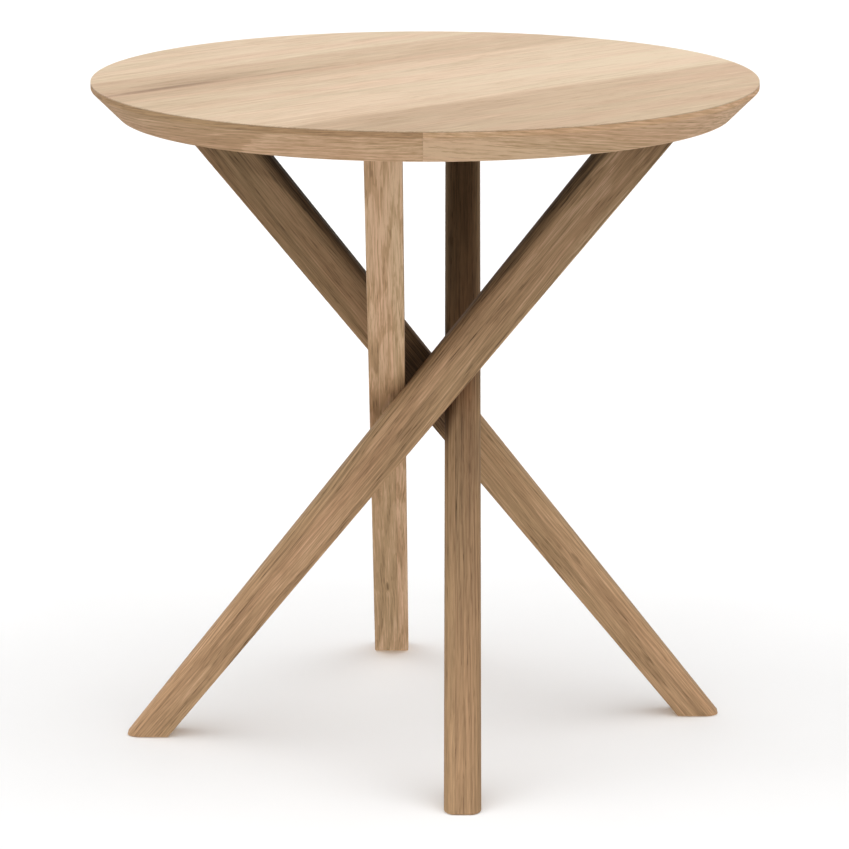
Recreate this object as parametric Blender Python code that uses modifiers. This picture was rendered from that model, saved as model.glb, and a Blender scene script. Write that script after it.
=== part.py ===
"""Round oak side table on four crossed legs, in metres, +Z up, standing on z = 0 around the Z axis.

The table repeats every quarter turn about Z. One side is modelled here, the front one, whose leg
passes in front of the axis. Its pieces hang on an empty, and the other three sides are the same
pieces on empties turned by 90, 180 and 270 degrees. Each leg's sharp inner arris bites into the
rounded outer arris of the next leg, where a hidden dowel joins the two. The tabletop is a core disc
with four rim segments glued round it and one thin face layer over them all.
"""

import math

import bmesh
import bpy
from mathutils import Vector

SIDES = ("front", "right", "back", "left")
QUARTER_TURN = math.tau / len(SIDES)

# Clearance between pieces that touch, and how far a cutter runs past the surface it opens.
GAP = 0.0003
OVERSHOOT = 0.002

# Tabletop: a narrow upright band at the rim, face layer included, undercut down to a smaller underside.
TABLE_HEIGHT = 0.500
TOP_RADIUS = 0.248
TOP_THICKNESS = 0.0246
FACE_THICKNESS = 0.0008
FACE_EASING = 0.0003
CORE_RADIUS = 0.210
RIM_BAND_HEIGHT = 0.0047
UNDERSIDE_RADIUS = 0.228
UNDERSIDE_Z = TABLE_HEIGHT - TOP_THICKNESS
CORE_TOP_Z = TABLE_HEIGHT - FACE_THICKNESS - GAP
RIM_BLOCK_SIZE = TOP_RADIUS + OVERSHOOT
TOP_SIDES = 128

# Legs: widths are measured level, along the lean, and reaches from the table's axis.
GLIDE_PROUD = 0.0006
LEG_OFFSET = 0.0284
LEG_THICKNESS = 0.027
LEG_HEAD_REACH = 0.171
LEG_FOOT_REACH = 0.211
LEG_HEAD_WIDTH = 0.0508
LEG_FOOT_WIDTH = 0.0314
LEG_HEAD_Z = UNDERSIDE_Z - GAP
LEG_FOOT_Z = GLIDE_PROUD
LEG_ROUNDING = 0.0085
LEG_ROUNDING_STEPS = 6
LEG_EASING = 0.0005
LEG_INNER_FACE = LEG_OFFSET - LEG_THICKNESS / 2
LEG_RUN = LEG_HEAD_REACH + LEG_FOOT_REACH
LEG_LEAN = math.atan2(LEG_RUN, LEG_HEAD_Z - LEG_FOOT_Z)

# The legs cross where a leg's centreline passes the table's axis.
CROSSING_SHARE = LEG_FOOT_REACH / LEG_RUN
CROSSING_Z = LEG_FOOT_Z + CROSSING_SHARE * (LEG_HEAD_Z - LEG_FOOT_Z)
CROSSING_WIDTH = LEG_FOOT_WIDTH + CROSSING_SHARE * (LEG_HEAD_WIDTH - LEG_FOOT_WIDTH)
CROSSING_FROM_AXIS = (LEG_INNER_FACE + CROSSING_WIDTH / 2) / 2

# Dowel at each crossing.
DOWEL_RADIUS = 0.003
DOWEL_LENGTH = 0.030
DOWEL_CHAMFER = 0.0008
DOWEL_SIDES = 16

# Mounting plate: let into the underside over each leg head, with an ear on either side of the leg.
PLATE_WIDTH = 0.044
PLATE_LENGTH = 0.078
PLATE_THICKNESS = 0.003
PLATE_CORNER = 0.006
PLATE_CORNER_STEPS = 4
POCKET_DEPTH = PLATE_THICKNESS + GAP
EAR_HOLE_RADIUS = 0.0033
EAR_HOLE_SPREAD = 0.027
HOLE_SIDES = 16

# Wood screws from the plate down into the leg, set towards the leg's obtuse edge to stay inside it.
SCREW_HEAD_RADIUS = 0.0045
SCREW_HEAD_RIM = 0.0004
SCREW_HEAD_HEIGHT = 0.0026
SCREW_SHANK_RADIUS = 0.0022
SCREW_LENGTH = 0.030
SCREW_TIP = 0.005
SCREW_SIDES = 14
SCREW_POSITIONS = {"inner": -0.0165, "outer": -0.0045}

# Button-head bolts from below, through the plate's ears.
BOLT_SHANK_RADIUS = 0.0027
BOLT_SHANK_LENGTH = 0.016
BOLT_CHAMFER = 0.0006
BOLT_HEAD_RADIUS = 0.0053
BOLT_HEAD_HEIGHT = 0.0033
BOLT_HEAD_EDGE = 0.0008
BOLT_DOME_RADIUS = 0.0031
BOLT_DOME_STEPS = 3
BOLT_SIDES = 16

# Six-sided drive sockets.
SOCKET_SIDES = 6
BOLT_SOCKET_RADIUS = 0.0023
BOLT_SOCKET_DEPTH = 0.0019
SCREW_SOCKET_RADIUS = 0.0017
SCREW_SOCKET_DEPTH = 0.0016

# Threaded inserts in the top, with coarse outer ridges.
INSERT_LENGTH = 0.013
INSERT_ROOT_RADIUS = 0.0039
INSERT_RIDGE_RADIUS = 0.0046
INSERT_BORE_RADIUS = BOLT_SHANK_RADIUS + 2 * GAP
INSERT_RIDGES = 3

# Glide under each foot: a disc let into the end of the leg, with a spigot above it.
GLIDE_RADIUS = 0.0085
GLIDE_THICKNESS = 0.0026
GLIDE_CHAMFER = 0.0005
GLIDE_SPIGOT_RADIUS = 0.0025
GLIDE_SPIGOT_LENGTH = 0.008
GLIDE_SIDES = 24

# Colour, roughness and metallic value of each kind of piece.
FINISHES = {
    "top_face": ((0.66, 0.53, 0.40), 0.55, 0.0),
    "top_core": ((0.050, 0.042, 0.036), 0.7, 0.0),
    "top_rim": ((0.45, 0.31, 0.20), 0.6, 0.0),
    "leg": ((0.45, 0.31, 0.20), 0.6, 0.0),
    "mounting_plate": ((0.05, 0.05, 0.055), 0.45, 0.6),
    "leg_screw": ((0.62, 0.60, 0.52), 0.35, 1.0),
    "top_bolt": ((0.08, 0.08, 0.085), 0.4, 0.9),
    "threaded_insert": ((0.60, 0.58, 0.50), 0.4, 1.0),
    "crossing_dowel": ((0.60, 0.44, 0.28), 0.7, 0.0),
    "foot_glide": ((0.12, 0.11, 0.10), 0.5, 0.0),
}


def clear_scene():
    for old in list(bpy.data.objects):
        bpy.data.objects.remove(old, do_unlink=True)


def new_collection(name):
    made = bpy.data.collections.new(name)
    bpy.context.scene.collection.children.link(made)
    return made


def new_material(kind):
    colour, roughness, metallic = FINISHES[kind]
    material = bpy.data.materials.new(kind)
    material.use_nodes = True
    shader = material.node_tree.nodes["Principled BSDF"]
    shader.inputs["Base Color"].default_value = (*colour, 1.0)
    shader.inputs["Roughness"].default_value = roughness
    shader.inputs["Metallic"].default_value = metallic
    return material


def mesh_from(bm, name):
    mesh = bpy.data.meshes.new(name)
    bm.to_mesh(mesh)
    bm.free()
    mesh.shade_smooth()
    return mesh


def add_piece(name, mesh, kind, parent=None, location=(0, 0, 0)):
    """A visible piece, in the collection of the table's parts."""
    if not mesh.materials:
        mesh.materials.append(MATERIALS[kind])
    piece = bpy.data.objects.new(name, mesh)
    piece.parent = parent
    piece.location = location
    PARTS.objects.link(piece)
    return piece


def add_cutter(name, mesh, parent, location=(0, 0, 0)):
    """A helper that only takes material away, left out of renders."""
    cutter = bpy.data.objects.new(name, mesh)
    cutter.parent = parent
    cutter.location = location
    cutter.hide_render = True
    cutter.display_type = "WIRE"
    CUTTERS.objects.link(cutter)
    return cutter


def cut(piece, *cutters):
    for cutter in cutters:
        boolean = piece.modifiers.new(cutter.name, "BOOLEAN")
        boolean.operation = "DIFFERENCE"
        boolean.object = cutter


def keep(piece, block):
    """Take away everything but what lies inside the block."""
    boolean = piece.modifiers.new(block.name, "BOOLEAN")
    boolean.operation = "INTERSECT"
    boolean.object = block


def round_edges(piece, width, segments, by_weight):
    """Bevel the edges marked with a weight, or else every edge that is still sharp."""
    bevel = piece.modifiers.new("Rounding" if by_weight else "Easing", "BEVEL")
    bevel.width = width
    bevel.segments = segments
    bevel.limit_method = "WEIGHT" if by_weight else "ANGLE"
    bevel.angle_limit = math.radians(35)


def turn(piece, sides):
    """Turn a profile about Z. Its points run from the top, down the outer side, to the bottom."""
    screw = piece.modifiers.new("Turning", "SCREW")
    screw.steps = sides
    screw.render_steps = sides
    screw.use_merge_vertices = True
    screw.merge_threshold = 0.00001
    screw.use_smooth_shade = True


def shade(piece):
    """Keep flat faces flat and curves smooth, by weighting each corner's normal with its faces' areas."""
    weighted = piece.modifiers.new("Shading", "WEIGHTED_NORMAL")
    weighted.keep_sharp = True


def profile_mesh(name, points, closed=False):
    """A turning profile in the XZ plane, from (radius, height) points."""
    bm = bmesh.new()
    verts = [bm.verts.new((radius, 0, height)) for radius, height in points]
    for start, end in zip(verts, verts[1:]):
        bm.edges.new((start, end))
    if closed:
        bm.edges.new((verts[-1], verts[0]))
    return mesh_from(bm, name)


def prism_mesh(name, radius, length, sides):
    """A prism on the Z axis, from z = 0 up to its length."""
    bm = bmesh.new()
    bmesh.ops.create_cone(bm, cap_ends=True, segments=sides, radius1=radius, radius2=radius, depth=length)
    bmesh.ops.translate(bm, verts=bm.verts, vec=(0, 0, length / 2))
    return mesh_from(bm, name)


def slab_mesh(name, size):
    """A box centred on X and Y that rises from z = 0, with its four upright edges marked for rounding."""
    bm = bmesh.new()
    bmesh.ops.create_cube(bm, size=1)
    bmesh.ops.scale(bm, verts=bm.verts, vec=size)
    bmesh.ops.translate(bm, verts=bm.verts, vec=(0, 0, size[2] / 2))
    weight = bm.edges.layers.float.new("bevel_weight_edge")
    for edge in bm.edges:
        along = edge.verts[1].co - edge.verts[0].co
        edge[weight] = float(abs(along.z) > size[2] / 2)
    return mesh_from(bm, name)


def leg_mesh(name, grow=0.0):
    """The front leg as a leaning, tapered bar, its two outer long edges marked for rounding.

    The head is at +X and the foot at -X, so the outer (upper) face is the one towards -X.
    """
    grow_level = grow / math.cos(LEG_LEAN)
    bm = bmesh.new()
    bmesh.ops.create_cube(bm, size=1)
    weight = bm.edges.layers.float.new("bevel_weight_edge")
    for edge in bm.edges:
        lower, upper = edge.verts
        is_long = lower.co.z * upper.co.z < 0
        is_outer = lower.co.x < 0 and upper.co.x < 0
        edge[weight] = float(is_long and is_outer)
    for vert in bm.verts:
        at_head = vert.co.z > 0
        centre = LEG_HEAD_REACH if at_head else -LEG_FOOT_REACH
        width = (LEG_HEAD_WIDTH if at_head else LEG_FOOT_WIDTH) + 2 * grow_level
        vert.co = (
            centre + vert.co.x * width,
            vert.co.y * (LEG_THICKNESS + 2 * grow) - LEG_OFFSET,
            LEG_HEAD_Z if at_head else LEG_FOOT_Z,
        )
    return mesh_from(bm, name)


def face_profile():
    return (
        (0, TABLE_HEIGHT),
        (TOP_RADIUS - FACE_EASING, TABLE_HEIGHT),
        (TOP_RADIUS, TABLE_HEIGHT - FACE_EASING),
        (TOP_RADIUS, TABLE_HEIGHT - FACE_THICKNESS),
        (0, TABLE_HEIGHT - FACE_THICKNESS),
    )


def core_profile():
    return (
        (0, CORE_TOP_Z),
        (CORE_RADIUS, CORE_TOP_Z),
        (CORE_RADIUS, UNDERSIDE_Z),
        (0, UNDERSIDE_Z),
    )


def rim_profile():
    """Closed section of the rim, from its upper inner corner down the outer side and back."""
    return (
        (CORE_RADIUS + GAP, CORE_TOP_Z),
        (TOP_RADIUS, CORE_TOP_Z),
        (TOP_RADIUS, TABLE_HEIGHT - RIM_BAND_HEIGHT),
        (UNDERSIDE_RADIUS, UNDERSIDE_Z),
        (CORE_RADIUS + GAP, UNDERSIDE_Z),
    )


def dowel_profile(grow=0.0):
    """Half the dowel's length lies on each side of z = 0."""
    radius = DOWEL_RADIUS + grow
    end = DOWEL_LENGTH / 2 + grow
    return (
        (0, end),
        (radius - DOWEL_CHAMFER, end),
        (radius, end - DOWEL_CHAMFER),
        (radius, DOWEL_CHAMFER - end),
        (radius - DOWEL_CHAMFER, -end),
        (0, -end),
    )


def screw_profile(grow=0.0):
    """Countersunk wood screw, its head's top at z = 0 and its point down."""
    head = SCREW_HEAD_RADIUS + grow
    shank = SCREW_SHANK_RADIUS + grow
    return (
        (0, grow),
        (head, grow),
        (head, -SCREW_HEAD_RIM),
        (shank, -SCREW_HEAD_HEIGHT - grow),
        (shank, SCREW_TIP - SCREW_LENGTH),
        (0, -SCREW_LENGTH - grow),
    )


def bolt_profile():
    """Button-head bolt, its head below z = 0 and its shank above."""
    shank = BOLT_SHANK_RADIUS
    points = [
        (0, BOLT_SHANK_LENGTH),
        (shank - BOLT_CHAMFER, BOLT_SHANK_LENGTH),
        (shank, BOLT_SHANK_LENGTH - BOLT_CHAMFER),
        (shank, 0),
        (BOLT_HEAD_RADIUS, 0),
    ]
    dome_height = BOLT_HEAD_HEIGHT - BOLT_HEAD_EDGE
    for step in range(BOLT_DOME_STEPS + 1):
        angle = step / BOLT_DOME_STEPS * math.pi / 2
        radius = BOLT_DOME_RADIUS + (BOLT_HEAD_RADIUS - BOLT_DOME_RADIUS) * math.cos(angle)
        points.append((radius, -BOLT_HEAD_EDGE - dome_height * math.sin(angle)))
    points.append((0, -BOLT_HEAD_HEIGHT))
    return points


def insert_profile():
    """Tube on the Z axis from z = 0 up: down the ridged outer side, then back up the bore."""
    pitch = INSERT_LENGTH / INSERT_RIDGES
    points = [(INSERT_ROOT_RADIUS, INSERT_LENGTH)]
    for ridge in range(INSERT_RIDGES):
        ridge_top = INSERT_LENGTH - ridge * pitch
        points.append((INSERT_RIDGE_RADIUS, ridge_top - pitch / 2))
        points.append((INSERT_ROOT_RADIUS, ridge_top - pitch))
    points.append((INSERT_BORE_RADIUS, 0))
    points.append((INSERT_BORE_RADIUS, INSERT_LENGTH))
    return points


def glide_profile(grow=0.0):
    """Glide with its sole at z = 0 and its spigot up."""
    disc = GLIDE_RADIUS + grow
    spigot = GLIDE_SPIGOT_RADIUS + grow
    shoulder = GLIDE_THICKNESS + grow
    return (
        (0, shoulder + GLIDE_SPIGOT_LENGTH),
        (spigot, shoulder + GLIDE_SPIGOT_LENGTH),
        (spigot, shoulder),
        (disc, shoulder),
        (disc, GLIDE_CHAMFER - grow),
        (disc - GLIDE_CHAMFER, -grow),
        (0, -grow),
    )


def shape_leg(leg, grow=0.0):
    round_edges(leg, LEG_ROUNDING + grow, LEG_ROUNDING_STEPS, by_weight=True)
    if not grow:
        round_edges(leg, LEG_EASING, 1, by_weight=False)


def ear_spots():
    """Where the two bolts of the front side pass the plate, on either side of the leg head."""
    for label, sign in (("outer", -1), ("inner", 1)):
        yield label, (LEG_HEAD_REACH, -LEG_OFFSET + sign * EAR_HOLE_SPREAD)


def add_dowel(side, frame, meshes):
    """The dowel lies level, from this side's leg diagonally into the next side's leg."""
    centre = Vector((CROSSING_FROM_AXIS, -CROSSING_FROM_AXIS, CROSSING_Z))
    dowel = add_piece(f"crossing_dowel_{side}", meshes["dowel"], "crossing_dowel", frame, centre)
    bore = add_cutter(f"dowel_bore_{side}", meshes["dowel_bore"], frame, centre)
    for piece in (dowel, bore):
        piece.rotation_euler = (0, math.pi / 2, math.pi / 4)
        turn(piece, DOWEL_SIDES)
    return bore


def add_rim_segment(index, frame, meshes):
    """The quarter of the rim from this side's seam to the next side's."""
    next_side = SIDES[(index + 1) % len(SIDES)]
    segment = add_piece(f"rim_{SIDES[index]}_to_{next_side}", meshes["rim"], "top_rim", frame)
    turn(segment, TOP_SIDES)
    middle = (GAP + RIM_BLOCK_SIZE) / 2
    place = (middle, -middle, UNDERSIDE_Z - OVERSHOOT)
    keep(segment, add_cutter(f"rim_block_{SIDES[index]}", meshes["rim_block"], frame, place))


def add_plate(side, frame, meshes):
    """The plate over this side's leg head, with its pocket in the tabletop's core."""
    place = (LEG_HEAD_REACH, -LEG_OFFSET, UNDERSIDE_Z)
    plate = add_piece(f"mounting_plate_{side}", meshes["plate"], "mounting_plate", frame, place)
    round_edges(plate, PLATE_CORNER, PLATE_CORNER_STEPS, by_weight=True)
    pocket_place = (LEG_HEAD_REACH, -LEG_OFFSET, UNDERSIDE_Z - OVERSHOOT)
    pocket = add_cutter(f"plate_pocket_{side}", meshes["pocket"], frame, pocket_place)
    round_edges(pocket, PLATE_CORNER + GAP, PLATE_CORNER_STEPS, by_weight=True)
    cut(CORE, pocket)
    return plate


def add_leg_screws(side, frame, meshes):
    """Two screws from the plate's upper face down into the leg. Returns the bores that they need."""
    bores = []
    head_z = UNDERSIDE_Z + PLATE_THICKNESS
    for label, from_centre in SCREW_POSITIONS.items():
        place = (LEG_HEAD_REACH + from_centre, -LEG_OFFSET, head_z)
        screw = add_piece(f"leg_screw_{side}_{label}", meshes["screw"], "leg_screw", frame, place)
        bore = add_cutter(f"screw_bore_{side}_{label}", meshes["screw_bore"], frame, place)
        for piece in (screw, bore):
            turn(piece, SCREW_SIDES)
        socket_place = Vector(place) - Vector((0, 0, SCREW_SOCKET_DEPTH))
        cut(screw, add_cutter(f"screw_socket_{side}_{label}", meshes["screw_socket"], frame, socket_place))
        bores.append(bore)
    return bores


def add_top_bolts(side, frame, meshes):
    """Two bolts up through the plate's ears into inserts. Returns the ear holes that they need."""
    holes = []
    bolt_z = UNDERSIDE_Z - GAP
    for label, (x, y) in ear_spots():
        bolt = add_piece(f"top_bolt_{side}_{label}", meshes["bolt"], "top_bolt", frame, (x, y, bolt_z))
        turn(bolt, BOLT_SIDES)
        socket_place = (x, y, bolt_z - BOLT_HEAD_HEIGHT - OVERSHOOT)
        cut(bolt, add_cutter(f"bolt_socket_{side}_{label}", meshes["bolt_socket"], frame, socket_place))

        insert_place = (x, y, UNDERSIDE_Z + POCKET_DEPTH)
        insert_name = f"threaded_insert_{side}_{label}"
        insert = add_piece(insert_name, meshes["insert"], "threaded_insert", frame, insert_place)
        turn(insert, BOLT_SIDES)
        bore_place = (x, y, UNDERSIDE_Z + POCKET_DEPTH - OVERSHOOT)
        cut(CORE, add_cutter(f"insert_bore_{side}_{label}", meshes["insert_bore"], frame, bore_place))

        hole_place = (x, y, UNDERSIDE_Z - OVERSHOOT)
        holes.append(add_cutter(f"ear_hole_{side}_{label}", meshes["ear_hole"], frame, hole_place))
    return holes


def add_glide(side, frame, meshes):
    place = (-LEG_FOOT_REACH, -LEG_OFFSET, 0)
    glide = add_piece(f"foot_glide_{side}", meshes["glide"], "foot_glide", frame, place)
    seat = add_cutter(f"glide_seat_{side}", meshes["glide_seat"], frame, place)
    for piece in (glide, seat):
        turn(piece, GLIDE_SIDES)
    return seat


def shared_meshes():
    """One mesh for each kind of piece and cutter, shared by the four sides."""
    rim_block_size = (RIM_BLOCK_SIZE, RIM_BLOCK_SIZE, TOP_THICKNESS + 2 * OVERSHOOT)
    plate_size = (PLATE_WIDTH, PLATE_LENGTH, PLATE_THICKNESS)
    pocket_size = (PLATE_WIDTH + 2 * GAP, PLATE_LENGTH + 2 * GAP, POCKET_DEPTH + OVERSHOOT)
    insert_bore_length = INSERT_LENGTH + GAP + OVERSHOOT
    return {
        "rim": profile_mesh("rim", rim_profile(), closed=True),
        "rim_block": slab_mesh("rim_block", rim_block_size),
        "leg": leg_mesh("leg"),
        "leg_notch": leg_mesh("leg_notch", grow=GAP),
        "dowel": profile_mesh("dowel", dowel_profile()),
        "dowel_bore": profile_mesh("dowel_bore", dowel_profile(grow=GAP)),
        "plate": slab_mesh("plate", plate_size),
        "pocket": slab_mesh("pocket", pocket_size),
        "screw": profile_mesh("screw", screw_profile()),
        "screw_bore": profile_mesh("screw_bore", screw_profile(grow=GAP)),
        "screw_socket": prism_mesh(
            "screw_socket", SCREW_SOCKET_RADIUS, SCREW_SOCKET_DEPTH + OVERSHOOT, SOCKET_SIDES
        ),
        "bolt": profile_mesh("bolt", bolt_profile()),
        "bolt_socket": prism_mesh(
            "bolt_socket", BOLT_SOCKET_RADIUS, BOLT_SOCKET_DEPTH + OVERSHOOT, SOCKET_SIDES
        ),
        "ear_hole": prism_mesh(
            "ear_hole", EAR_HOLE_RADIUS, PLATE_THICKNESS + 2 * OVERSHOOT, HOLE_SIDES
        ),
        "insert": profile_mesh("insert", insert_profile(), closed=True),
        "insert_bore": prism_mesh(
            "insert_bore", INSERT_RIDGE_RADIUS + GAP, insert_bore_length, HOLE_SIDES
        ),
        "glide": profile_mesh("glide", glide_profile()),
        "glide_seat": profile_mesh("glide_seat", glide_profile(grow=GAP)),
    }


def add_side(index, meshes):
    """One quarter of the table. Returns its leg, the notch it needs in the next leg, and its dowel's bore."""
    side = SIDES[index]
    frame = bpy.data.objects.new(f"{side}_side", None)
    frame.rotation_euler.z = index * QUARTER_TURN
    PARTS.objects.link(frame)
    add_rim_segment(index, frame, meshes)

    leg = add_piece(f"leg_{side}", meshes["leg"], "leg", frame)
    shape_leg(leg)
    notch = add_cutter(f"leg_notch_{side}", meshes["leg_notch"], frame)
    shape_leg(notch, grow=GAP)

    plate = add_plate(side, frame, meshes)
    screw_bores = add_leg_screws(side, frame, meshes)
    cut(plate, *screw_bores, *add_top_bolts(side, frame, meshes))
    cut(leg, *screw_bores, add_glide(side, frame, meshes))
    return leg, notch, add_dowel(side, frame, meshes)


def add_disc(name, profile):
    """A turned disc of the tabletop, in the finish of its own name."""
    disc = add_piece(name, profile_mesh(name, profile), name)
    turn(disc, TOP_SIDES)
    return disc


clear_scene()
PARTS = new_collection("crossed_leg_side_table")
CUTTERS = new_collection("cutters")
MATERIALS = {kind: new_material(kind) for kind in FINISHES}
add_disc("top_face", face_profile())
CORE = add_disc("top_core", core_profile())
SHARED = shared_meshes()
QUARTERS = [add_side(index, SHARED) for index in range(len(SIDES))]
for position, (leg, _, own_bore) in enumerate(QUARTERS):
    _, previous_notch, previous_bore = QUARTERS[position - 1]
    cut(leg, previous_notch, own_bore, previous_bore)
for item in PARTS.objects:
    if item.type == "MESH":
        shade(item)
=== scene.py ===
"""Looks of the round oak side table: fine meshes for top and legs, materials, floor, light, camera.

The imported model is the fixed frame. The tabletop's six pieces and the four legs are rebuilt here with
finer rounding at the same sizes, and the metal, dowel and glide nodes are shown as packed. Everything
is in metres, +Z up, and the table repeats every quarter turn about Z.
"""

import math

import bmesh
import bpy
from mathutils import Matrix, Vector


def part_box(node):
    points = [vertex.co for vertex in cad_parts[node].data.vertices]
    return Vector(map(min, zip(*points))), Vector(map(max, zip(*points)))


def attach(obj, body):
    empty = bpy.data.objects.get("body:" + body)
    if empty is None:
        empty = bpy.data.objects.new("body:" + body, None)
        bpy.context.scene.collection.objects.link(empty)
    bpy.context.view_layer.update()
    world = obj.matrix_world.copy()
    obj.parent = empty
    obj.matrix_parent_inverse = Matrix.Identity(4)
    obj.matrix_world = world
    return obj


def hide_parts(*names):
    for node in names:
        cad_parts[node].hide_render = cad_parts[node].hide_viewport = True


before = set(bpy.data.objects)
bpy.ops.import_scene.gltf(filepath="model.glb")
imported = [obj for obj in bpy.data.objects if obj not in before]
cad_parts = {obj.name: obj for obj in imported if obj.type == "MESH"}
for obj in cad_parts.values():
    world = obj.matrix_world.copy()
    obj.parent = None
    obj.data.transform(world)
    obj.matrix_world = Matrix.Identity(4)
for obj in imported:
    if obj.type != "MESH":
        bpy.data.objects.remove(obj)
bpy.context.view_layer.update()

SIDES = ("front", "right", "back", "left")
QUARTER_TURN = math.tau / len(SIDES)
LABELS = ("inner", "outer")
RIM_NODES = [f"rim_{side}_to_{SIDES[(index + 1) % len(SIDES)]}" for index, side in enumerate(SIDES)]

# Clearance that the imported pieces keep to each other, and how far a cutter runs past a surface.
GAP = 0.0003
OVERSHOOT = 0.002

# Tabletop: upright band at the rim, face layer included, undercut down to a smaller underside.
RIM_BAND_HEIGHT = 0.0047
UNDERSIDE_RADIUS = 0.228
FACE_EASING = 0.0004
SEAM_EASING = 0.0001
BAND_EASING = 0.0004
UNDERSIDE_EASING = 0.0006
EASING_STEPS = 4
TOP_SIDES = 288
GLUE_LINE = 0.0001
PLATE_CORNER = 0.006
CORNER_STEPS = 6
BORE_SIDES = 32

# Legs: widths are level, along the lean, and reaches are from the table's axis.
LEG_HEAD_REACH = 0.171
LEG_FOOT_REACH = 0.211
LEG_HEAD_WIDTH = 0.0508
LEG_FOOT_WIDTH = 0.0314
LEG_ROUNDING = 0.0085
LEG_ROUNDING_STEPS = 14
LEG_EASING = 0.0005
LEG_EASING_STEPS = 2

# Camera: a long lens a little above the tabletop, looking along +Y.
CAMERA_PLACE = (0.0199, -3.1516, 0.9738)
CAMERA_PITCH_DOWN = 0.23019
CAMERA_TURN_LEFT = 0.00645
CAMERA_LENS = 181.3
CAMERA_SENSOR = 36.0

FLOOR_RADIUS = 30.0


# ---------------------------------------------------------------- mesh helpers


def mesh_from(bm, name):
    mesh = bpy.data.meshes.new(name)
    bm.to_mesh(mesh)
    bm.free()
    return mesh


def link(mesh, name):
    made = bpy.data.objects.new(name, mesh)
    bpy.context.scene.collection.objects.link(made)
    return made


def settled(obj):
    """The object's mesh with its modifiers applied. The object itself is removed."""
    depsgraph = bpy.context.evaluated_depsgraph_get()
    mesh = bpy.data.meshes.new_from_object(obj.evaluated_get(depsgraph), depsgraph=depsgraph)
    bpy.data.objects.remove(obj)
    return mesh


def turned_copy(mesh, quarter):
    copy = mesh.copy()
    copy.transform(Matrix.Rotation(quarter * QUARTER_TURN, 4, "Z"))
    return copy


def cut(name, mesh, cutters):
    """The mesh with every cutter mesh taken away."""
    obj = link(mesh, name)
    helpers = [link(cutter, f"{name}_cutter") for cutter in cutters]
    for helper in helpers:
        boolean = obj.modifiers.new("Cut", "BOOLEAN")
        boolean.operation = "DIFFERENCE"
        boolean.object = helper
    result = settled(obj)
    for helper in helpers:
        bpy.data.objects.remove(helper)
    return result


def finish_piece(name, mesh, material, slot, *nodes):
    """Show a rebuilt mesh in place of its CAD nodes, smooth on its curves and crisp on its flats."""
    mesh.materials.clear()
    mesh.materials.append(material)
    mesh.shade_smooth()
    mesh.set_sharp_from_angle(angle=math.radians(35))
    piece = link(mesh, name)
    weighted = piece.modifiers.new("Shading", "WEIGHTED_NORMAL")
    weighted.keep_sharp = True
    weighted.weight = 90
    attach(piece, "root")
    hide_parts(*nodes)


def grown_node(node, by=GAP):
    """A closed copy of a CAD node's mesh, grown outwards, as a cutter for the bore that holds it."""
    bm = bmesh.new()
    bm.from_mesh(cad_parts[node].data)
    bmesh.ops.remove_doubles(bm, verts=bm.verts, dist=1e-6)
    bmesh.ops.recalc_face_normals(bm, faces=bm.faces)
    moves = [vert.normal * (by * vert.calc_shell_factor()) for vert in bm.verts]
    for vert, move in zip(bm.verts, moves):
        vert.co += move
    return mesh_from(bm, f"{node}_bore")


def drill(low, high, radius):
    """An upright cylinder over the middle of a box, from its low to its high corner."""
    bm = bmesh.new()
    depth = high.z - low.z
    bmesh.ops.create_cone(
        bm, cap_ends=True, segments=BORE_SIDES, radius1=radius, radius2=radius, depth=depth
    )
    bmesh.ops.translate(bm, verts=bm.verts, vec=(low + high) / 2)
    return mesh_from(bm, "drill")


def pocket(low, high):
    """A box with its four upright edges rounded."""
    bm = bmesh.new()
    bmesh.ops.create_cube(bm, size=1)
    bmesh.ops.scale(bm, verts=bm.verts, vec=high - low)
    bmesh.ops.translate(bm, verts=bm.verts, vec=(low + high) / 2)
    upright = [edge for edge in bm.edges if edge.verts[0].co.xy == edge.verts[1].co.xy]
    bmesh.ops.bevel(
        bm, geom=upright, offset=PLATE_CORNER + GAP, segments=CORNER_STEPS, profile=0.5, affect="EDGES"
    )
    return mesh_from(bm, "pocket")


# ---------------------------------------------------------------- shapes


def arc(centre, radius, start, end):
    """Points along an arc in the (radius, height) plane, between two angles in degrees."""
    points = []
    for step in range(EASING_STEPS + 1):
        angle = math.radians(start + (end - start) * step / EASING_STEPS)
        points.append((centre[0] + radius * math.cos(angle), centre[1] + radius * math.sin(angle)))
    return points


def eased_corner(before, corner, after, radius):
    """The arc that rounds the corner between two straight stretches of a profile."""
    corner = Vector(corner)
    to_before = (Vector(before) - corner).normalized()
    to_after = (Vector(after) - corner).normalized()
    half = to_before.angle(to_after) / 2
    centre = corner + (to_before + to_after).normalized() * (radius / math.sin(half))
    start = corner + to_before * (radius / math.tan(half)) - centre
    end = corner + to_after * (radius / math.tan(half)) - centre
    start_angle = math.degrees(math.atan2(start.y, start.x))
    end_angle = math.degrees(math.atan2(end.y, end.x))
    return arc(centre, radius, start_angle, end_angle)


def eased_profile(outline, easings):
    """An outline with the corners between its two ends rounded, one easing radius for each."""
    points = [outline[0]]
    for index, easing in enumerate(easings, start=1):
        points += eased_corner(outline[index - 1], outline[index], outline[index + 1], easing)
    points.append(outline[-1])
    return points


def turned_mesh(name, profile):
    """A solid of revolution from a profile that starts and ends on the Z axis."""
    bm = bmesh.new()
    verts = [bm.verts.new((radius, 0.0, height)) for radius, height in profile]
    for start, end in zip(verts, verts[1:]):
        bm.edges.new((start, end))
    disc = link(mesh_from(bm, name), name)
    screw = disc.modifiers.new("Turning", "SCREW")
    screw.steps = TOP_SIDES
    screw.render_steps = TOP_SIDES
    screw.use_merge_vertices = True
    screw.merge_threshold = 0.00001
    return settled(disc)


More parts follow.
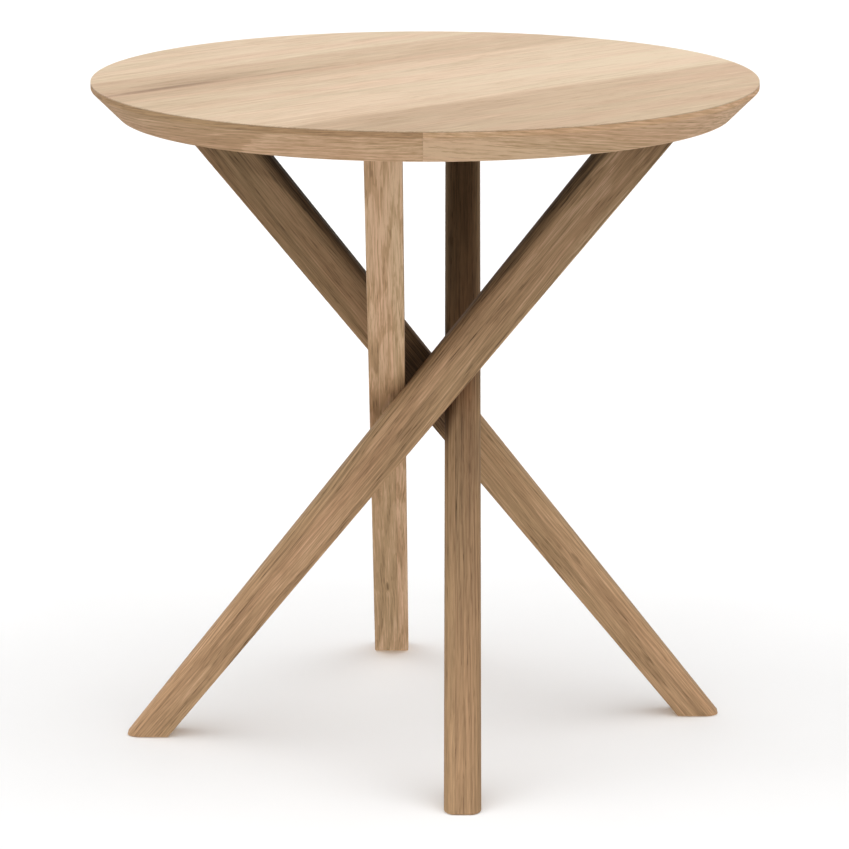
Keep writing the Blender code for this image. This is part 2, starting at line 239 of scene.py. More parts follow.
def face_mesh():
    low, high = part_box("top_face")
    rim = high.x
    outline = ((0.0, high.z), (rim, high.z), (rim, low.z), (0.0, low.z))
    return turned_mesh("top_face_disc", eased_profile(outline, (FACE_EASING, SEAM_EASING)))


def core_mesh():
    """The core disc, with the pockets for the plates and the bores for the inserts."""
    low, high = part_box("top_core")
    edge = high.x
    disc = turned_mesh("top_core_disc", ((0.0, high.z), (edge, high.z), (edge, low.z), (0.0, low.z)))
    cutters = []
    for side in SIDES:
        low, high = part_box(f"mounting_plate_{side}")
        cutters.append(pocket(low - Vector((GAP, GAP, OVERSHOOT)), high + Vector((GAP, GAP, GAP))))
        for label in LABELS:
            low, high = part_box(f"threaded_insert_{side}_{label}")
            radius = (high.x - low.x) / 2 + GAP
            cutters.append(drill(low - Vector((0, 0, OVERSHOOT)), high + Vector((0, 0, GAP)), radius))
    return cut("top_core_turned", disc, cutters)


def rim_mesh():
    """A quarter of the rim, from its front seam round to its right one, swept about the Z axis."""
    low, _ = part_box(RIM_NODES[0])
    face_low, face_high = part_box("top_face")
    outer = face_high.x
    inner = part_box("top_core")[1].x + GLUE_LINE
    upper = face_low.z - GLUE_LINE
    middle = ((inner + outer) / 2, upper)
    outline = (
        middle,
        (outer, upper),
        (outer, face_high.z - RIM_BAND_HEIGHT),
        (UNDERSIDE_RADIUS, low.z),
        (inner, low.z),
        (inner, upper),
    )
    points = eased_profile(outline, (SEAM_EASING, BAND_EASING, UNDERSIDE_EASING, SEAM_EASING))
    steps = TOP_SIDES // len(SIDES)
    half_seam = GLUE_LINE / 2 / outer
    bm = bmesh.new()
    sections = []
    for step in range(steps + 1):
        angle = half_seam + (QUARTER_TURN - 2 * half_seam) * step / steps - QUARTER_TURN
        outward = Vector((math.cos(angle), math.sin(angle), 0))
        section = [outward * radius + Vector((0, 0, height)) for radius, height in points]
        sections.append([bm.verts.new(corner) for corner in section])
    for section, following in zip(sections, sections[1:]):
        for index in range(len(points)):
            bm.faces.new((section[index - 1], section[index], following[index], following[index - 1]))
    bm.faces.new(sections[0])
    bm.faces.new(reversed(sections[-1]))
    bmesh.ops.recalc_face_normals(bm, faces=bm.faces)
    return mesh_from(bm, "rim_quarter")


def leg_bar(grow=0.0):
    """The front leg before it is cut: a leaning, tapered bar with its two upper long edges rounded.

    Its head is at +X and its foot at -X, so its upper face is the one towards -X.
    """
    low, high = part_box("leg_front")
    lean = math.atan2(LEG_HEAD_REACH + LEG_FOOT_REACH, high.z - low.z)
    grow_level = grow / math.cos(lean)
    bm = bmesh.new()
    bmesh.ops.create_cube(bm, size=1)
    weight = bm.edges.layers.float.new("bevel_weight_edge")
    for edge in bm.edges:
        first, second = edge.verts
        is_long = first.co.z * second.co.z < 0
        is_upper = first.co.x < 0 and second.co.x < 0
        edge[weight] = float(is_long and is_upper)
    thickness = high.y - low.y + 2 * grow
    for vert in bm.verts:
        at_head = vert.co.z > 0
        centre = LEG_HEAD_REACH if at_head else -LEG_FOOT_REACH
        width = (LEG_HEAD_WIDTH if at_head else LEG_FOOT_WIDTH) + 2 * grow_level
        vert.co = (
            centre + vert.co.x * width,
            (low.y + high.y) / 2 + vert.co.y * thickness,
            high.z if at_head else low.z,
        )
    bar = link(mesh_from(bm, "leg_bar"), "leg_bar")
    rounding = bar.modifiers.new("Rounding", "BEVEL")
    rounding.width = LEG_ROUNDING + grow
    rounding.segments = LEG_ROUNDING_STEPS
    rounding.limit_method = "WEIGHT"
    if not grow:
        easing = bar.modifiers.new("Easing", "BEVEL")
        easing.width = LEG_EASING
        easing.segments = LEG_EASING_STEPS
        easing.limit_method = "ANGLE"
        easing.angle_limit = math.radians(35)
    return settled(bar)


def leg_mesh(index, bar, grown_bar):
    """One leg, notched for the leg before it and bored for its dowels, screws and glide."""
    side = SIDES[index]
    previous = SIDES[index - 1]
    held = [f"crossing_dowel_{side}", f"crossing_dowel_{previous}", f"foot_glide_{side}"]
    held += [f"leg_screw_{side}_{label}" for label in LABELS]
    cutters = [grown_node(node) for node in held]
    cutters.append(turned_copy(grown_bar, index - 1))
    return cut(f"leg_{side}_bar", turned_copy(bar, index), cutters)


# ---------------------------------------------------------------- material helpers


class Tree:
    """The node tree of one new material. Each method adds a node and returns its output socket."""

    def __init__(self, name):
        self.material = bpy.data.materials.new(name)
        self.material.use_nodes = True
        self.nodes = self.material.node_tree.nodes
        self.links = self.material.node_tree.links
        self.shader = self.nodes["Principled BSDF"]

    def feed(self, socket, value):
        if isinstance(value, bpy.types.NodeSocket):
            self.links.new(value, socket)
        else:
            socket.default_value = value

    def set(self, **values):
        """Set or link the shader's sockets, named with underscores for spaces."""
        for name, value in values.items():
            self.feed(self.shader.inputs[name.replace("_", " ")], value)

    def place(self):
        return self.nodes.new("ShaderNodeTexCoord").outputs["Object"]

    def math(self, operation, first, second=0.0):
        node = self.nodes.new("ShaderNodeMath")
        node.operation = operation
        for socket, value in zip(node.inputs, (first, second)):
            self.feed(socket, value)
        return node.outputs[0]

    def add(self, first, second):
        return self.math("ADD", first, second)

    def scale(self, first, by):
        return self.math("MULTIPLY", first, by)

    def dot(self, vector, axis):
        node = self.nodes.new("ShaderNodeVectorMath")
        node.operation = "DOT_PRODUCT"
        self.feed(node.inputs[0], vector)
        self.feed(node.inputs[1], axis)
        return node.outputs["Value"]

    def combine(self, x, y, z):
        node = self.nodes.new("ShaderNodeCombineXYZ")
        for socket, value in zip(node.inputs, (x, y, z)):
            self.feed(socket, value)
        return node.outputs[0]

    def stretch(self, vector, factors):
        node = self.nodes.new("ShaderNodeVectorMath")
        node.operation = "MULTIPLY"
        self.feed(node.inputs[0], vector)
        self.feed(node.inputs[1], factors)
        return node.outputs[0]

    def noise(self, vector, factors, detail=2.0, roughness=0.5):
        """Noise from 0 to 1, with so many cycles a metre along each axis of the vector."""
        node = self.nodes.new("ShaderNodeTexNoise")
        self.feed(node.inputs["Vector"], self.stretch(vector, factors))
        node.inputs["Scale"].default_value = 1.0
        node.inputs["Detail"].default_value = detail
        node.inputs["Roughness"].default_value = roughness
        return node.outputs[0]

    def ramp(self, value, low, high, to_low=0.0, to_high=1.0, smooth=True):
        """Map low..high to to_low..to_high, clamped."""
        node = self.nodes.new("ShaderNodeMapRange")
        node.interpolation_type = "SMOOTHSTEP" if smooth else "LINEAR"
        for socket, given in zip(node.inputs, (value, low, high, to_low, to_high)):
            self.feed(socket, given)
        return node.outputs[0]

    def colours(self, value, stops):
        """A colour ramp through (position, colour) stops."""
        node = self.nodes.new("ShaderNodeValToRGB")
        elements = node.color_ramp.elements
        while len(elements) < len(stops):
            elements.new(0.5)
        for element, (position, colour) in zip(elements, stops):
            element.position = position
            element.color = (*colour, 1.0)
        self.feed(node.inputs[0], value)
        return node.outputs[0]

    def mix(self, factor, first, second, blend="MIX"):
        node = self.nodes.new("ShaderNodeMix")
        node.data_type = "RGBA"
        node.blend_type = blend
        colour_sockets = (node.inputs[0], node.inputs[6], node.inputs[7])
        for socket, value in zip(colour_sockets, (factor, first, second)):
            self.feed(socket, value)
        return node.outputs[2]

    def bump(self, height, distance, strength=1.0):
        node = self.nodes.new("ShaderNodeBump")
        node.inputs["Strength"].default_value = strength
        node.inputs["Distance"].default_value = distance
        self.feed(node.inputs["Height"], height)
        self.feed(self.shader.inputs["Normal"], node.outputs[0])


# ---------------------------------------------------------------- oak

# Oiled oak from its darkest pores to its palest fibres, and the paler face layer of the top.
OAK_TONES = (
    (0.00, (0.122, 0.074, 0.040)),
    (0.25, (0.292, 0.177, 0.094)),
    (0.50, (0.465, 0.289, 0.153)),
    (0.75, (0.630, 0.397, 0.223)),
    (1.00, (0.870, 0.600, 0.385)),
)
PALE_OAK_TONES = (
    (0.00, (0.200, 0.120, 0.065)),
    (0.25, (0.370, 0.235, 0.140)),
    (0.50, (0.520, 0.355, 0.222)),
    (0.75, (0.640, 0.465, 0.308)),
    (1.00, (0.790, 0.610, 0.435)),
)


def growth_rings(tree, across, depth, along, pith, ring_width):
    """How porous the wood is, from 0 to 1: highest just outside each growth ring, then fading."""
    from_pith_across = tree.add(across, -pith[0])
    from_pith_depth = tree.add(depth, -pith[1])
    squares = tree.add(
        tree.math("MULTIPLY", from_pith_across, from_pith_across),
        tree.math("MULTIPLY", from_pith_depth, from_pith_depth),
    )
    rings = tree.scale(tree.math("SQRT", squares), 1 / ring_width)
    rings = tree.add(rings, tree.scale(along, 7.0))
    uneven = tree.noise(tree.combine(along, across, depth), (2.0, 60.0, 60.0), detail=1.0)
    phase = tree.math("FRACT", tree.add(rings, tree.scale(uneven, 3.0)))
    return tree.math("MULTIPLY", tree.ramp(phase, 0.10, 0.75, 1.0, 0.0), tree.ramp(phase, 0.0, 0.10))


# Width of a year's growth in the rim and the legs.
RING_WIDTH = 0.0030
# Roughness of pores and of fibres, and how strongly the surface mirrors, on the top and elsewhere.
TOP_GLOSS = (0.60, 0.38, 0.50)
BARE_GLOSS = (0.80, 0.62, 0.25)


def oak(
    tree, along, across, depth, tone, pith, ring_width, contrast, waviness,
    tones=OAK_TONES, gloss=BARE_GLOSS, pore_bias=0.0,
):
    """Oak colour, gloss and relief from places along the grain, across the face and through the board.

    The contrast scales every figure in the wood, the waviness is how far the grain strays in metres, and
    the pore bias makes pores more common where it is high.
    """
    grain = tree.combine(along, across, depth)
    slow = tree.noise(grain, (5.0, 14.0, 14.0), detail=1.0)
    quick = tree.noise(grain, (20.0, 40.0, 40.0), detail=1.0)
    sway = tree.scale(tree.add(slow, -0.5), waviness)
    sway = tree.add(sway, tree.scale(tree.add(quick, -0.5), 0.15 * waviness))
    across = tree.add(across, sway)
    depth = tree.add(depth, sway)
    grain = tree.combine(along, across, depth)
    porous = growth_rings(tree, across, depth, along, pith, ring_width)

    patches = tree.noise(grain, (3.0, 24.0, 24.0), detail=2.0)
    bands = tree.noise(grain, (7.0, 190.0, 190.0), detail=2.0, roughness=0.6)
    fibres = tree.noise(grain, (18.0, 820.0, 820.0), detail=3.0, roughness=0.75)
    dashes = tree.noise(grain, (90.0, 1000.0, 1000.0), detail=0.0)
    pores = tree.ramp(tree.add(dashes, pore_bias), 0.58, 0.76)
    pores = tree.math("MULTIPLY", pores, tree.ramp(porous, 0.0, 1.0, 0.35, 1.0))

    figure = tree.scale(tree.add(bands, -0.5), 0.28)
    figure = tree.add(figure, tree.scale(tree.add(fibres, -0.5), 1.55))
    figure = tree.add(figure, tree.scale(tree.add(porous, -0.35), -0.17))
    figure = tree.add(figure, tree.scale(pores, -0.24))
    tone = tree.add(tone, tree.scale(tree.add(patches, -0.5), 0.32))
    tone = tree.add(tone, tree.scale(figure, contrast))
    colour = tree.colours(tone, tones)

    blush = tree.noise(grain, (3.0, 40.0, 40.0), detail=2.0)
    tint = tree.colours(blush, ((0.38, (0.985, 1.010, 0.990)), (0.68, (1.030, 0.980, 0.975))))
    colour = tree.mix(1.0, colour, tint, "MULTIPLY")

    in_pores, on_fibres, mirroring = gloss
    roughness = tree.ramp(tree.add(fibres, tree.scale(pores, -0.6)), 0.0, 0.8, in_pores, on_fibres)
    tree.set(Base_Color=colour, Roughness=roughness, IOR=1.5, Specular_IOR_Level=mirroring)
    tree.bump(tree.add(tree.scale(pores, -0.7), tree.scale(fibres, 0.5)), 0.00012, 0.6)


def spot(tree, place, centre, reach):
    """1 at a centre, fading to 0 at a reach along each axis that the centre and reach name."""
    squares = 0.0
    for value, middle, extent in zip(place, centre, reach):
        offset = tree.scale(tree.add(value, -middle), 1 / extent)
        squares = tree.add(squares, tree.math("MULTIPLY", offset, offset))
    return tree.ramp(squares, 0.0, 1.0, 1.0, 0.0)


# The face layer is laid in strips that run at this angle from +X, counted across the grain, with one
# tone each at the table's axis. Each strip is made lighter along the grain towards the back right, a
# painted sheen. The streaks and pore clusters are placed along and across the grain.
TOP_GRAIN_ANGLE = math.radians(43.7)
STRIP_WIDTH = 0.081
STRIP_FIRST_SEAM = -0.181
STRIP_TONES = (0.67, 0.64, 0.93, 0.84, 0.67, 0.85, 0.84)
STRIP_PAINTED_SHEEN = 0.33
STRIP_SEAM_BLUR = 0.06
TOP_PITH = (0.01, 0.42)
TOP_RING_WIDTH = 0.0042
TOP_CONTRAST = 0.50
TOP_WAVINESS = 0.010
DARK_STREAKS = (
    ((-0.172, 0.0915), (0.085, 0.0075), 0.34),
    ((-0.130, 0.1070), (0.090, 0.0180), 0.16),
    ((-0.050, 0.0930), (0.070, 0.0045), 0.20),
    ((-0.018, -0.0264), (0.035, 0.0018), 0.18),
    ((0.080, -0.0700), (0.050, 0.0016), 0.10),
)
PORE_CLUSTERS = (
    ((-0.025, 0.0460), (0.036, 0.026)),
    ((0.102, 0.0440), (0.034, 0.020)),
    ((0.010, 0.0900), (0.050, 0.018)),
)


def top_oak():
    tree = Tree("top_oak")
    place = tree.place()
    grain = (math.cos(TOP_GRAIN_ANGLE), math.sin(TOP_GRAIN_ANGLE), 0.0)
    along = tree.dot(place, grain)
    across = tree.dot(place, (-grain[1], grain[0], 0.0))
    depth = tree.dot(place, (0.0, 0.0, 1.0))

    strips = tree.scale(tree.add(across, -STRIP_FIRST_SEAM), 1 / STRIP_WIDTH)
    index = tree.math("FLOOR", strips)
    stops = []
    for number, strip_tone in enumerate(STRIP_TONES):
        for edge in (STRIP_SEAM_BLUR, 1 - STRIP_SEAM_BLUR):
            stops.append(((number + edge) / len(STRIP_TONES), (strip_tone,) * 3))
    tone = tree.colours(tree.scale(tree.add(strips, 1.0), 1 / len(STRIP_TONES)), stops)
    # Painted sheen: each strip lighter along the grain towards the back right.
    tone = tree.add(tone, tree.scale(along, STRIP_PAINTED_SHEEN))
    for centre, reach, darker in DARK_STREAKS:
        tone = tree.add(tone, tree.scale(spot(tree, (along, across), centre, reach), -darker))
    clustered = 0.0
    for centre, reach in PORE_CLUSTERS:
        clustered = tree.add(clustered, spot(tree, (along, across), centre, reach))

    in_strip = tree.scale(tree.add(tree.math("FRACT", strips), -0.5), STRIP_WIDTH)
    along = tree.add(along, tree.scale(index, 0.731))
    oak(
        tree, along, in_strip, depth, tone, TOP_PITH, TOP_RING_WIDTH, TOP_CONTRAST, TOP_WAVINESS,
        tones=PALE_OAK_TONES, gloss=TOP_GLOSS, pore_bias=tree.add(tree.scale(clustered, 0.16), -0.05),
    )
    return tree.material


# Rim segments: in each, a darker layer lies over a paler one, and the line between them drops from a
# high point near one end to a low point further along. Places are along the segment's chord, and up.
# The layers lie nearly flat, so the outer faces show long grain all the way round. Tones are below
# the line, above it, and the painted shade on the upright band in the top few millimetres.
RIM_TONES = {
    "front": (1.00, 0.84, 0.08),
    "right": (0.90, 0.80, 0.10),
    "back": (0.86, 0.76, 0.04),
    "left": (0.85, 0.72, 0.20),
}
RIM_LINES = {
    "front": ((-0.150, 0.4930), (-0.060, 0.4760)),
    "right": ((0.120, 0.4940), (0.040, 0.4760)),
    "back": ((-0.100, 0.4950), (-0.010, 0.4750)),
    "left": ((0.082, 0.4952), (0.038, 0.4750)),
}
RIM_GRAIN_FALL = {"front": -0.12, "right": 0.08, "back": -0.06, "left": 0.05}
RIM_LAYING = 0.15
RIM_PITH = (0.30, 0.05)
RIM_CONTRAST = 0.6
RIM_WAVINESS = 0.005
RIM_SHADED_BAND_HEIGHT = 0.0048


def rim_oak(side, quarter):
    """Solid oak with its grain along the chord of one quarter of the rim."""
    tree = Tree(f"rim_oak_{side}")
    place = tree.place()
    middle = quarter * QUARTER_TURN - QUARTER_TURN / 2
    along = tree.dot(place, (-math.sin(middle), math.cos(middle), 0.0))
    outward = tree.dot(place, (math.cos(middle), math.sin(middle), 0.0))
    height = tree.dot(place, (0.0, 0.0, 1.0))

    (high_along, high), (low_along, low) = RIM_LINES[side]
    jagged = tree.noise(tree.combine(along, outward, height), (12.0, 60.0, 520.0), detail=2.0)
    jagged_along = tree.add(along, tree.scale(tree.add(jagged, -0.5), 0.030))
    line = tree.ramp(jagged_along, high_along, low_along, high, low, smooth=False)
    above = tree.ramp(tree.add(height, tree.scale(line, -1.0)), -0.0005, 0.0005)
    below_tone, above_tone, band_painted_shade = RIM_TONES[side]
    tone = tree.ramp(above, 0.0, 1.0, below_tone, above_tone, smooth=False)
    # Painted shade: the upright band at the top of the rim is made darker.
    top_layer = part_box("top_face")[1].z - RIM_SHADED_BAND_HEIGHT
    in_shaded_band = tree.ramp(height, top_layer - 0.0003, top_layer + 0.0003)
    tone = tree.add(tone, tree.scale(in_shaded_band, -band_painted_shade))

    across = tree.add(height, tree.scale(along, -RIM_GRAIN_FALL[side]))
    depth = tree.scale(outward, RIM_LAYING)
    along = tree.add(along, 2.3 + 0.9 * quarter)
    oak(tree, along, across, depth, tone, RIM_PITH, RING_WIDTH, RIM_CONTRAST, RIM_WAVINESS)
    return tree.material


def core_board():
    """Near-black board, a dark sheet put as painted shade under the top, so the underside sends little
    light onto the legs.
    """
    tree = Tree("core_board")
    place = tree.place()
    mottle = tree.noise(place, (40.0,) * 3, detail=3.0)
    weave = tree.noise(place, (1400.0,) * 3, detail=2.0)
    tree.set(
        Base_Color=tree.colours(mottle, ((0.3, (0.042, 0.035, 0.030)), (0.7, (0.058, 0.048, 0.041)))),
        Roughness=tree.ramp(weave, 0.3, 0.7, 0.62, 0.78),
    )
    tree.bump(weave, 0.00004)
    return tree.material


# Legs: each is glued up from two layers, the thinner one on the inside, and the glue line shows.
LEG_LAYER_SHARE = 0.70
THIN_LAYER_PALER = 0.07
GLUE_LINE_DARKER = 0.10
GLUE_LINE_REACH = 0.0004
# Tones are at the foot, the middle and the head. The right leg's low middle and head tones are partly
# painted shade, and the rest is the boards' own tone.
LEG_TONES_AND_SHADE = {
    "front": (0.58, 0.57, 0.74),
    "right": (0.45, 0.33, 0.36),
    "back": (0.48, 0.58, 0.56),
    "left": (0.70, 0.76, 0.88),
}
# Painted shade: how much darker the wood is made over the last stretch under the tabletop, and on the
# upper long edges, where it deepens from the middle of the leg to its head.
LEG_HEAD_PAINTED_SHADE = {"front": 0.30, "right": 0.12, "back": 0.06, "left": 0.03}
LEG_HEAD_STRETCH = 0.060
LEG_EDGE_PAINTED_SHADE = {"front": 0.60, "right": 0.0, "back": 0.72, "left": 0.20}
LEG_EDGE_DEPTH = 0.012
# Painted shade on the inner face round the crossing: how much, where along and through the leg, how far.
LEG_CROSSING_PAINTED_SHADE = 0.50
LEG_CROSSING_PLACE = (0.030, 0.0135)
LEG_CROSSING_REACH = (0.058, 0.0120)
LEG_PITHS = {
    "front": (0.012, 0.045),
    "right": (0.050, 0.020),
    "back": (0.004, 0.080),
    "left": (0.060, 0.010),
}
LEG_CONTRAST = {"front": 0.9, "right": 0.62, "back": 0.8, "left": 0.8}
LEG_WAVINESS = {"front": 0.010, "right": 0.003, "back": 0.006, "left": 0.009}
# Small knots, placed along the leg from its middle, up across it, and through it towards the axis.
LEG_KNOTS = {
    "front": ((0.085, -0.018, 0.004),),
    "right": ((-0.120, 0.006, -0.0135),),
    "back": ((-0.147, 0.004, 0.0135), (0.110, -0.004, -0.0135)),
    "left": ((-0.205, -0.013, -0.003), (-0.080, -0.015, -0.008)),
}
KNOT_REACH = (0.009, 0.0025, 0.0025)
KNOT_DARKER = 0.20
KNOT_BENDING = 0.0008


def leg_places(tree, quarter, lean):
    """Places along one leg, up across it, and through it towards the table's axis, from its middle."""
    place = tree.place()
    turn = Matrix.Rotation(quarter * QUARTER_TURN, 3, "Z")
    low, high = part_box("leg_front")
    middle = (low + high) / 2
    middle.x = (LEG_HEAD_REACH - LEG_FOOT_REACH) / 2
    places = []
    for axis in ((math.sin(lean), 0, math.cos(lean)), (-math.cos(lean), 0, math.sin(lean)), (0, 1, 0)):
        axis = Vector(axis)
        places.append(tree.add(tree.dot(place, tuple(turn @ axis)), -middle.dot(axis)))
    return places


def leg_tone_and_painted_shade(tree, side, along, across, through, half_length, lean):
    """Tone of one leg, graded from foot to head, with painted shade under the top, on the upper edges
    and at the crossing.
    """
    foot_tone, middle_tone, head_tone = LEG_TONES_AND_SHADE[side]
    tone = tree.ramp(along, -half_length, 0.0, foot_tone, middle_tone)
    tone = tree.add(tone, tree.ramp(along, 0.0, half_length, 0.0, head_tone - middle_tone))

    # Painted shade over the last stretch under the tabletop.
    below_head = half_length - LEG_HEAD_STRETCH
    tone = tree.add(tone, tree.ramp(along, below_head, half_length, 0.0, -LEG_HEAD_PAINTED_SHADE[side]))

    # Painted shade along the upper long edge, deepening from the middle of the leg to its head.
    at_foot = LEG_FOOT_WIDTH / 2 * math.cos(lean)
    at_head = LEG_HEAD_WIDTH / 2 * math.cos(lean)
    half_width = tree.ramp(along, -half_length, half_length, at_foot, at_head, smooth=False)
    from_upper_edge = tree.add(half_width, tree.scale(across, -1.0))
    on_edge = tree.ramp(from_upper_edge, 0.0, LEG_EDGE_DEPTH, 1.0, 0.0)
    edge_shade = tree.ramp(along, 0.0, half_length, 0.0, -LEG_EDGE_PAINTED_SHADE[side], smooth=False)
    tone = tree.add(tone, tree.math("MULTIPLY", on_edge, edge_shade))

    # Painted shade on the inner face round the crossing.
    crossing = spot(tree, (along, through), LEG_CROSSING_PLACE, LEG_CROSSING_REACH)
    return tree.add(tone, tree.scale(crossing, -LEG_CROSSING_PAINTED_SHADE))


def leg_oak(side, quarter):
    """Oak with its grain along this side's leg, counted from the middle of the leg."""
    tree = Tree(f"leg_oak_{side}")
    low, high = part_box("leg_front")
    upright = high.z - low.z
    lean = math.atan2(LEG_HEAD_REACH + LEG_FOOT_REACH, upright)
    half_length = upright / math.cos(lean) / 2
    along, across, through = leg_places(tree, quarter, lean)

    knots = 0.0
    for knot in LEG_KNOTS[side]:
        knots = tree.add(knots, spot(tree, (along, across, through), knot, KNOT_REACH))
    glue_plane = (LEG_LAYER_SHARE - 0.5) * (high.y - low.y)
    thin_layer = tree.math("GREATER_THAN", through, glue_plane)
    from_glue = tree.math("ABSOLUTE", tree.add(through, -glue_plane))

    tone = leg_tone_and_painted_shade(tree, side, along, across, through, half_length, lean)
    tone = tree.add(tone, tree.scale(thin_layer, THIN_LAYER_PALER))
    tone = tree.add(tone, tree.ramp(from_glue, 0.0, GLUE_LINE_REACH, -GLUE_LINE_DARKER, 0.0))
    tone = tree.add(tone, tree.scale(knots, -KNOT_DARKER))

    bending = tree.scale(knots, KNOT_BENDING)
    across = tree.add(across, bending)
    through = tree.add(through, bending)
    along = tree.add(along, tree.add(1.37 * quarter, tree.scale(thin_layer, 0.53)))
    contrast = LEG_CONTRAST[side]
    oak(tree, along, across, through, tone, LEG_PITHS[side], RING_WIDTH, contrast, LEG_WAVINESS[side])
    return tree.material


# ---------------------------------------------------------------- metal, dowels and glides


def powder_coat():
    tree = Tree("plate_steel")
    place = tree.place()
    peel = tree.noise(place, (1500.0,) * 3, detail=2.0)
    patches = tree.noise(place, (60.0,) * 3, detail=3.0)
    tree.set(
        Base_Color=tree.colours(patches, ((0.3, (0.020, 0.020, 0.021)), (0.7, (0.034, 0.033, 0.033)))),
        Roughness=tree.ramp(peel, 0.3, 0.7, 0.42, 0.62),
    )
    tree.bump(peel, 0.00006)
    return tree.material


def plated_metal(name, dark, light, rough_low, rough_high):
    """Turned and plated metal with fine tool marks and a cloudy plating."""
    tree = Tree(name)
    place = tree.place()
    clouds = tree.noise(place, (220.0,) * 3, detail=3.0)
    marks = tree.noise(place, (300.0, 300.0, 9000.0), detail=2.0)
    tree.set(
        Base_Color=tree.colours(clouds, ((0.3, dark), (0.7, light))),
        Metallic=1.0,
        Roughness=tree.ramp(tree.add(clouds, tree.scale(marks, 0.6)), 0.5, 1.1, rough_low, rough_high),
    )
    tree.bump(marks, 0.00002)
    return tree.material


def dowel_beech():
    tree = Tree("dowel_beech")
    place = tree.place()
    flecks = tree.noise(place, (260.0, 260.0, 2400.0), detail=2.0)
    tree.set(
        Base_Color=tree.colours(flecks, ((0.35, (0.44, 0.27, 0.15)), (0.7, (0.62, 0.43, 0.27)))),
        Roughness=tree.ramp(flecks, 0.3, 0.7, 0.6, 0.75),
    )
    tree.bump(flecks, 0.00008)
    return tree.material


def glide_nylon():
    tree = Tree("glide_nylon")
    place = tree.place()
    grain = tree.noise(place, (2200.0,) * 3, detail=2.0)
    scuffs = tree.noise(place, (900.0, 140.0, 900.0), detail=3.0)
    worn = tree.ramp(scuffs, 0.55, 0.75)
    dark = tree.colours(grain, ((0.3, (0.030, 0.026, 0.022)), (0.7, (0.052, 0.046, 0.040))))
    tree.set(
        Base_Color=tree.mix(worn, dark, (0.12, 0.11, 0.10, 1.0)),
        Roughness=tree.ramp(scuffs, 0.3, 0.8, 0.42, 0.68),
    )
    tree.bump(tree.add(grain, worn), 0.00004)
    return tree.material


def dress_nodes(prefix, material):
    """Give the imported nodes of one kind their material."""
    for name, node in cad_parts.items():
        if name.startswith(prefix):
            node.data.materials.clear()
            node.data.materials.append(material)


# ---------------------------------------------------------------- stage, light and camera


def see_only(obj):
    """Leave an object to the camera alone: the graded surroundings already hold its light."""
    obj.visible_diffuse = False
    obj.visible_glossy = False
    obj.visible_transmission = False
    obj.visible_shadow = False


def add_floor():
    bm = bmesh.new()
    bmesh.ops.create_circle(bm, cap_ends=True, segments=96, radius=FLOOR_RADIUS)
    floor = link(mesh_from(bm, "floor"), "floor")
    tree = Tree("floor_paper")
    place = tree.place()
    mottle = tree.noise(place, (6.0,) * 3, detail=3.0)
    tree.set(
        Base_Color=tree.colours(mottle, ((0.3, (0.955, 0.955, 0.955)), (0.7, (0.975, 0.975, 0.975)))),
        Roughness=0.9,
        Specular_IOR_Level=0.1,
    )
    see_through = tree.nodes.new("ShaderNodeBsdfTransparent")
    blend = tree.nodes.new("ShaderNodeMixShader")
    tree.feed(blend.inputs[0], tree.nodes.new("ShaderNodeNewGeometry").outputs["Backfacing"])
    tree.feed(blend.inputs[1], tree.shader.outputs[0])
    tree.feed(blend.inputs[2], see_through.outputs[0])
    tree.feed(tree.nodes["Material Output"].inputs["Surface"], blend.outputs[0])
    floor.data.materials.append(tree.material)
    see_only(floor)


# Light from each height of the surroundings, from straight down (0) past the horizon (0.5) to
# straight up (1), in front of the table, at its sides and behind it: a bright ring overhead, a dim
# room at eye level with a bright backdrop behind, and a pale floor that gives light back.
FRONT_LIGHT = (
    (0.00, 0.00),
    (0.06, 0.05),
    (0.09, 1.75),
    (0.19, 1.75),
    (0.24, 0.27),
    (0.34, 0.27),
    (0.40, 0.00),
    (0.61, 0.00),
    (0.65, 0.90),
    (0.76, 0.90),
    (0.81, 1.88),
    (0.91, 1.88),
    (0.95, 1.28),
    (1.00, 1.28),
)
SIDE_LIGHT = (
    (0.00, 0.00),
    (0.06, 0.05),
    (0.09, 1.33),
    (0.19, 1.33),
    (0.24, 1.24),
    (0.35, 1.24),
    (0.39, 0.27),
    (0.48, 0.27),
    (0.52, 0.00),
    (0.61, 0.00),
    (0.65, 0.20),
    (0.76, 0.20),
    (0.81, 2.57),
    (0.91, 2.57),
    (0.95, 1.28),
    (1.00, 1.28),
)
BACK_LIGHT = (
    (0.00, 0.00),
    (0.20, 0.00),
    (0.23, 0.55),
    (0.35, 0.55),
    (0.39, 0.99),
    (0.48, 0.99),
    (0.52, 0.64),
    (0.61, 0.64),
    (0.65, 0.32),
    (0.76, 0.32),
    (0.80, 0.22),
    (0.91, 0.22),
    (0.95, 1.28),
    (1.00, 1.28),
)
BACKDROP_BRIGHTNESS = 1.0


